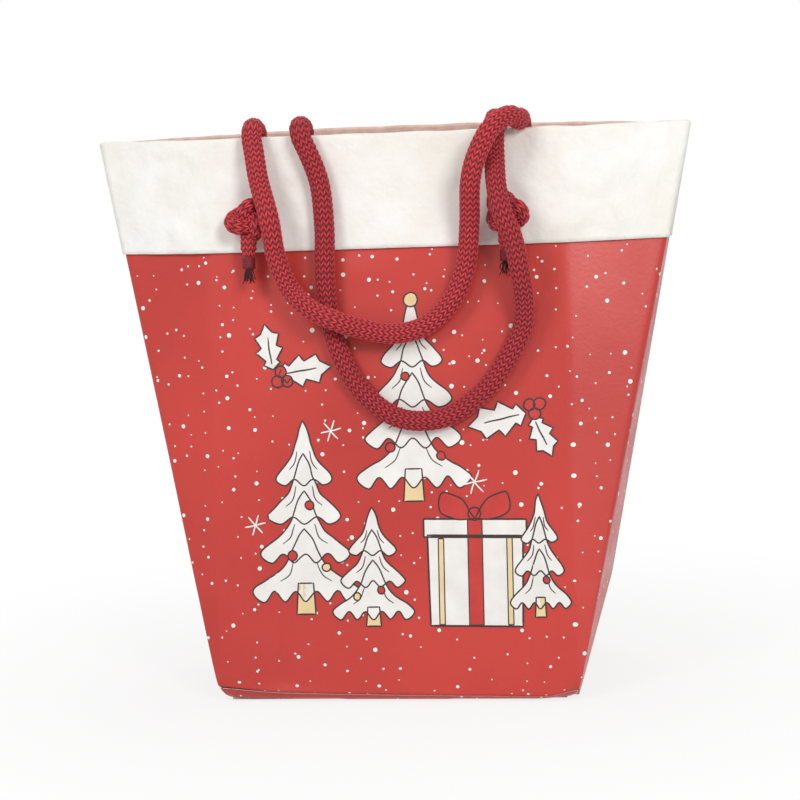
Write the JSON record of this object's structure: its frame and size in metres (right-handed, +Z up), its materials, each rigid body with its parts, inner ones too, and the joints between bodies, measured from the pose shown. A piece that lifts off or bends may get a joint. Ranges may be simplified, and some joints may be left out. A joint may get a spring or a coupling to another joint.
{
  "type": "gift bag",
  "caption": "Tapered wine gift bag of coated card with a turned white cuff, spread gussets, a loose base board and two knotted braided rope handles hung over the front rim.",
  "frame": {"origin": "on the ground under the middle of the base", "axes": "+Z up, -Y towards the front panel that the handles hang on, +X across the front panel to its right"},
  "size_m": [0.3374, 0.14, 0.3265],
  "materials": {
    "printed_card": "gloss coated print, red with white snow dots",
    "cuff": "matt white turned band, slightly creased",
    "board": "grey board, uncoated",
    "rope": "braided cotton",
    "thread": "wound thread"
  },
  "bodies": {
    "root": {"base_panel": "printed_card", "back_panel": "printed_card", "back_stiffener_card": "board", "back_cuff": "cuff", "foot_triangle_left": "printed_card", "foot_triangle_right": "printed_card", "knot_back_left": "rope", "rope_end_back_left": "rope", "whipping_back_left": "thread", "knot_back_right": "rope", "rope_end_back_right": "rope", "whipping_back_right": "thread", "back_handle_leg_left": "rope", "back_handle_leg_right": "rope"},
    "front_wall": {"front_panel": "printed_card", "front_stiffener_card": "board", "front_cuff": "cuff", "knot_front_left": "rope", "rope_end_front_left": "rope", "whipping_front_left": "thread", "knot_front_right": "rope", "rope_end_front_right": "rope", "whipping_front_right": "thread", "front_handle_leg_left": "rope", "front_handle_bend_left": "rope", "back_handle_bend_left": "rope", "front_handle_leg_right": "rope", "front_handle_bend_right": "rope", "back_handle_bend_right": "rope"},
    "front_handle": {"front_handle_loop": "rope"},
    "back_handle": {"back_handle_loop": "rope"},
    "loose_board": {"base_board": "board"},
    "front_left_gusset": {"gusset_front_left": "printed_card", "gusset_cuff_front_left": "cuff"},
    "front_right_gusset": {"gusset_front_right": "printed_card", "gusset_cuff_front_right": "cuff"},
    "back_left_gusset": {"gusset_back_left": "printed_card", "gusset_cuff_back_left": "cuff"},
    "back_right_gusset": {"gusset_back_right": "printed_card", "gusset_cuff_back_right": "cuff"}
  },
  "joints": [
    {"name": "mouth_open", "type": "hinge", "parent": "root", "child": "front_wall", "pos_m": [0, -0.07, 0], "axis": [1, 0, 0], "range_deg": [0, 8], "deforming": ["back_handle_leg_left", "back_handle_leg_right"]},
    {"name": "front_left_gusset_fold", "type": "hinge", "parent": "front_wall", "child": "front_left_gusset", "pos_m": [-0.1, -0.07, 0], "axis": [0, -0.1644, -0.9864], "range_deg": [0, 18.4]},
    {"name": "front_right_gusset_fold", "type": "hinge", "parent": "front_wall", "child": "front_right_gusset", "pos_m": [0.1, -0.07, 0], "axis": [0, 0.1644, 0.9864], "range_deg": [0, 18.4]},
    {"name": "back_left_gusset_fold", "type": "hinge", "parent": "root", "child": "back_left_gusset", "pos_m": [-0.1, 0.07, 0], "axis": [0, -0.1644, 0.9864], "range_deg": [0, 18.4]},
    {"name": "back_right_gusset_fold", "type": "hinge", "parent": "root", "child": "back_right_gusset", "pos_m": [0.1, 0.07, 0], "axis": [0, 0.1644, -0.9864], "range_deg": [0, 18.4]},
    {"name": "front_handle_lift", "type": "hinge", "parent": "front_wall", "child": "front_handle", "pos_m": [0, -0.0155, 0.31848], "axis": [-1, 0, 0], "range_deg": [0, 170], "deforming": ["front_handle_bend_left", "front_handle_bend_right"]},
    {"name": "back_handle_lift", "type": "hinge", "parent": "front_wall", "child": "back_handle", "pos_m": [0, -0.0155, 0.31848], "axis": [-1, 0, 0], "range_deg": [0, 170], "deforming": ["back_handle_bend_left", "back_handle_bend_right"]},
    {"name": "board_tip", "type": "hinge", "parent": "root", "child": "loose_board", "pos_m": [0, 0.064, 0.0013], "axis": [-1, 0, 0], "range_deg": [0, 25]}
  ],
  "couplings": [
    {"joint": "front_left_gusset_fold", "follows": "mouth_open", "ratio": 2.3},
    {"joint": "front_right_gusset_fold", "follows": "mouth_open", "ratio": 2.3},
    {"joint": "back_left_gusset_fold", "follows": "mouth_open", "ratio": 2.3},
    {"joint": "back_right_gusset_fold", "follows": "mouth_open", "ratio": 2.3},
    {"joint": "back_handle_lift", "follows": "front_handle_lift", "ratio": 1}
  ]
}
